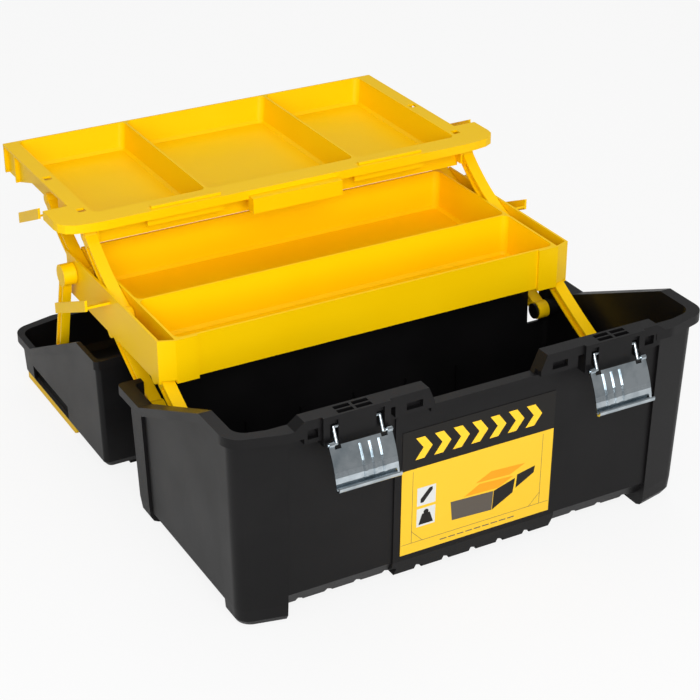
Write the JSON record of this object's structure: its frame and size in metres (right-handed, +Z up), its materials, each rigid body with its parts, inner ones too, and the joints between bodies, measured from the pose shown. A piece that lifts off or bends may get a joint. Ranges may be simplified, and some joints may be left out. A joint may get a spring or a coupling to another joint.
{
  "type": "cantilever tool box",
  "caption": "Cantilever tool box, open: moulded body, lid laid back behind it, stacked trays on pivoting arms, draw latches in front.",
  "frame": {"origin": "centre of the resting face under the middle of the box body, on the floor", "axes": "+X to the box's own left-to-right as seen from the front, +Y from the front panel back towards the open lid, +Z up; right-handed"},
  "size_m": [0.494, 0.6306, 0.2516],
  "materials": {
    "black_plastic": "fine moulded grain, satin",
    "yellow_plastic": "smooth moulded, semi-gloss",
    "label_print": "printed paper label, gloss laminate",
    "zinc_steel": "bright zinc plate",
    "pin_steel": "plain bright steel"
  },
  "bodies": {
    "box": {"bin_shell": "black_plastic", "front_label": "label_print", "hinge_pins": "pin_steel"},
    "lid": {"lid_shell": "black_plastic", "handle_pins": "pin_steel"},
    "carry_handle": {"carry_handle": "yellow_plastic"},
    "lid_links": {"lid_link_left": "yellow_plastic", "lid_link_right": "yellow_plastic"},
    "middle_tray": {"middle_tray": "yellow_plastic"},
    "top_tray": {"top_tray": "yellow_plastic"},
    "upper_arms_front": {"upper_arm_front_left": "yellow_plastic", "upper_arm_front_right": "yellow_plastic"},
    "upper_arms_rear": {"upper_arm_rear_left": "yellow_plastic", "upper_arm_rear_right": "yellow_plastic"},
    "lower_arms_front": {"lower_arm_front_left": "yellow_plastic", "lower_arm_front_right": "yellow_plastic", "pivot_cap_front_left": "black_plastic", "pivot_cap_front_right": "black_plastic"},
    "lower_arms_rear": {"lower_arm_rear_left": "yellow_plastic", "lower_arm_rear_right": "yellow_plastic", "pivot_cap_rear_left": "black_plastic", "pivot_cap_rear_right": "black_plastic"},
    "latch_bail_left": {"latch_bail_left": "zinc_steel"},
    "latch_bail_right": {"latch_bail_right": "zinc_steel"},
    "latch_plate_left": {"latch_plate_left": "zinc_steel"},
    "latch_plate_right": {"latch_plate_right": "zinc_steel"}
  },
  "joints": [
    {"name": "lid_hinge", "type": "hinge", "parent": "box", "child": "lid", "pos_m": [0, 0.155, 0.138], "axis": [1, 0, 0], "range_deg": [0, 180]},
    {"name": "lid_link_pivot", "type": "hinge", "parent": "lid", "child": "lid_links", "pos_m": [0, 0.3142, 0.076], "axis": [1, 0, 0], "range_deg": [0, 55.62]},
    {"name": "middle_tray_pivot", "type": "hinge", "parent": "lid_links", "child": "middle_tray", "pos_m": [0, 0.28166, 0.18196], "axis": [1, 0, 0], "range_deg": [-235.62, 0]},
    {"name": "upper_arm_front_pivot", "type": "hinge", "parent": "middle_tray", "child": "upper_arms_front", "pos_m": [0, 0.17166, 0.18196], "axis": [1, 0, 0], "range_deg": [0, 131.31]},
    {"name": "upper_arm_rear_pivot", "type": "hinge", "parent": "middle_tray", "child": "upper_arms_rear", "pos_m": [0, 0.27166, 0.18196], "axis": [1, 0, 0], "range_deg": [0, 131.31]},
    {"name": "top_tray_pivot", "type": "hinge", "parent": "upper_arms_front", "child": "top_tray", "pos_m": [0, 0.25662, 0.23101], "axis": [1, 0, 0], "range_deg": [-131.31, 0]},
    {"name": "lower_arm_front_pivot", "type": "hinge", "parent": "middle_tray", "child": "lower_arms_front", "pos_m": [0, 0.08866, 0.15696], "axis": [1, 0, 0], "range_deg": [0, 135.51]},
    {"name": "lower_arm_rear_pivot", "type": "hinge", "parent": "middle_tray", "child": "lower_arms_rear", "pos_m": [0, 0.19266, 0.15696], "axis": [1, 0, 0], "range_deg": [0, 135.51]},
    {"name": "handle_pivot", "type": "hinge", "parent": "lid", "child": "carry_handle", "pos_m": [0, 0.286, 0.006], "axis": [1, 0, 0], "range_deg": [-90, 0]},
    {"name": "latch_bail_left_hinge", "type": "hinge", "parent": "box", "child": "latch_bail_left", "pos_m": [-0.131, -0.12725, 0.196], "axis": [1, 0, 0], "range_deg": [-60, 0]},
    {"name": "latch_plate_left_hinge", "type": "hinge", "parent": "latch_bail_left", "child": "latch_plate_left", "pos_m": [-0.131, -0.13325, 0.183], "axis": [1, 0, 0], "range_deg": [-40, 10]},
    {"name": "latch_bail_right_hinge", "type": "hinge", "parent": "box", "child": "latch_bail_right", "pos_m": [0.131, -0.12725, 0.196], "axis": [1, 0, 0], "range_deg": [-60, 0]},
    {"name": "latch_plate_right_hinge", "type": "hinge", "parent": "latch_bail_right", "child": "latch_plate_right", "pos_m": [0.131, -0.13325, 0.183], "axis": [1, 0, 0], "range_deg": [-40, 10]}
  ],
  "couplings": [
    {"joint": "lid_link_pivot", "follows": "lid_hinge", "ratio": 0.30894},
    {"joint": "middle_tray_pivot", "follows": "lid_hinge", "ratio": -1.3089},
    {"joint": "upper_arm_front_pivot", "follows": "lid_hinge", "ratio": 0.72944},
    {"joint": "upper_arm_rear_pivot", "follows": "lid_hinge", "ratio": 0.72944},
    {"joint": "top_tray_pivot", "follows": "lid_hinge", "ratio": -0.72944},
    {"joint": "lower_arm_front_pivot", "follows": "lid_hinge", "ratio": 0.75278},
    {"joint": "lower_arm_rear_pivot", "follows": "lid_hinge", "ratio": 0.75278}
  ]
}
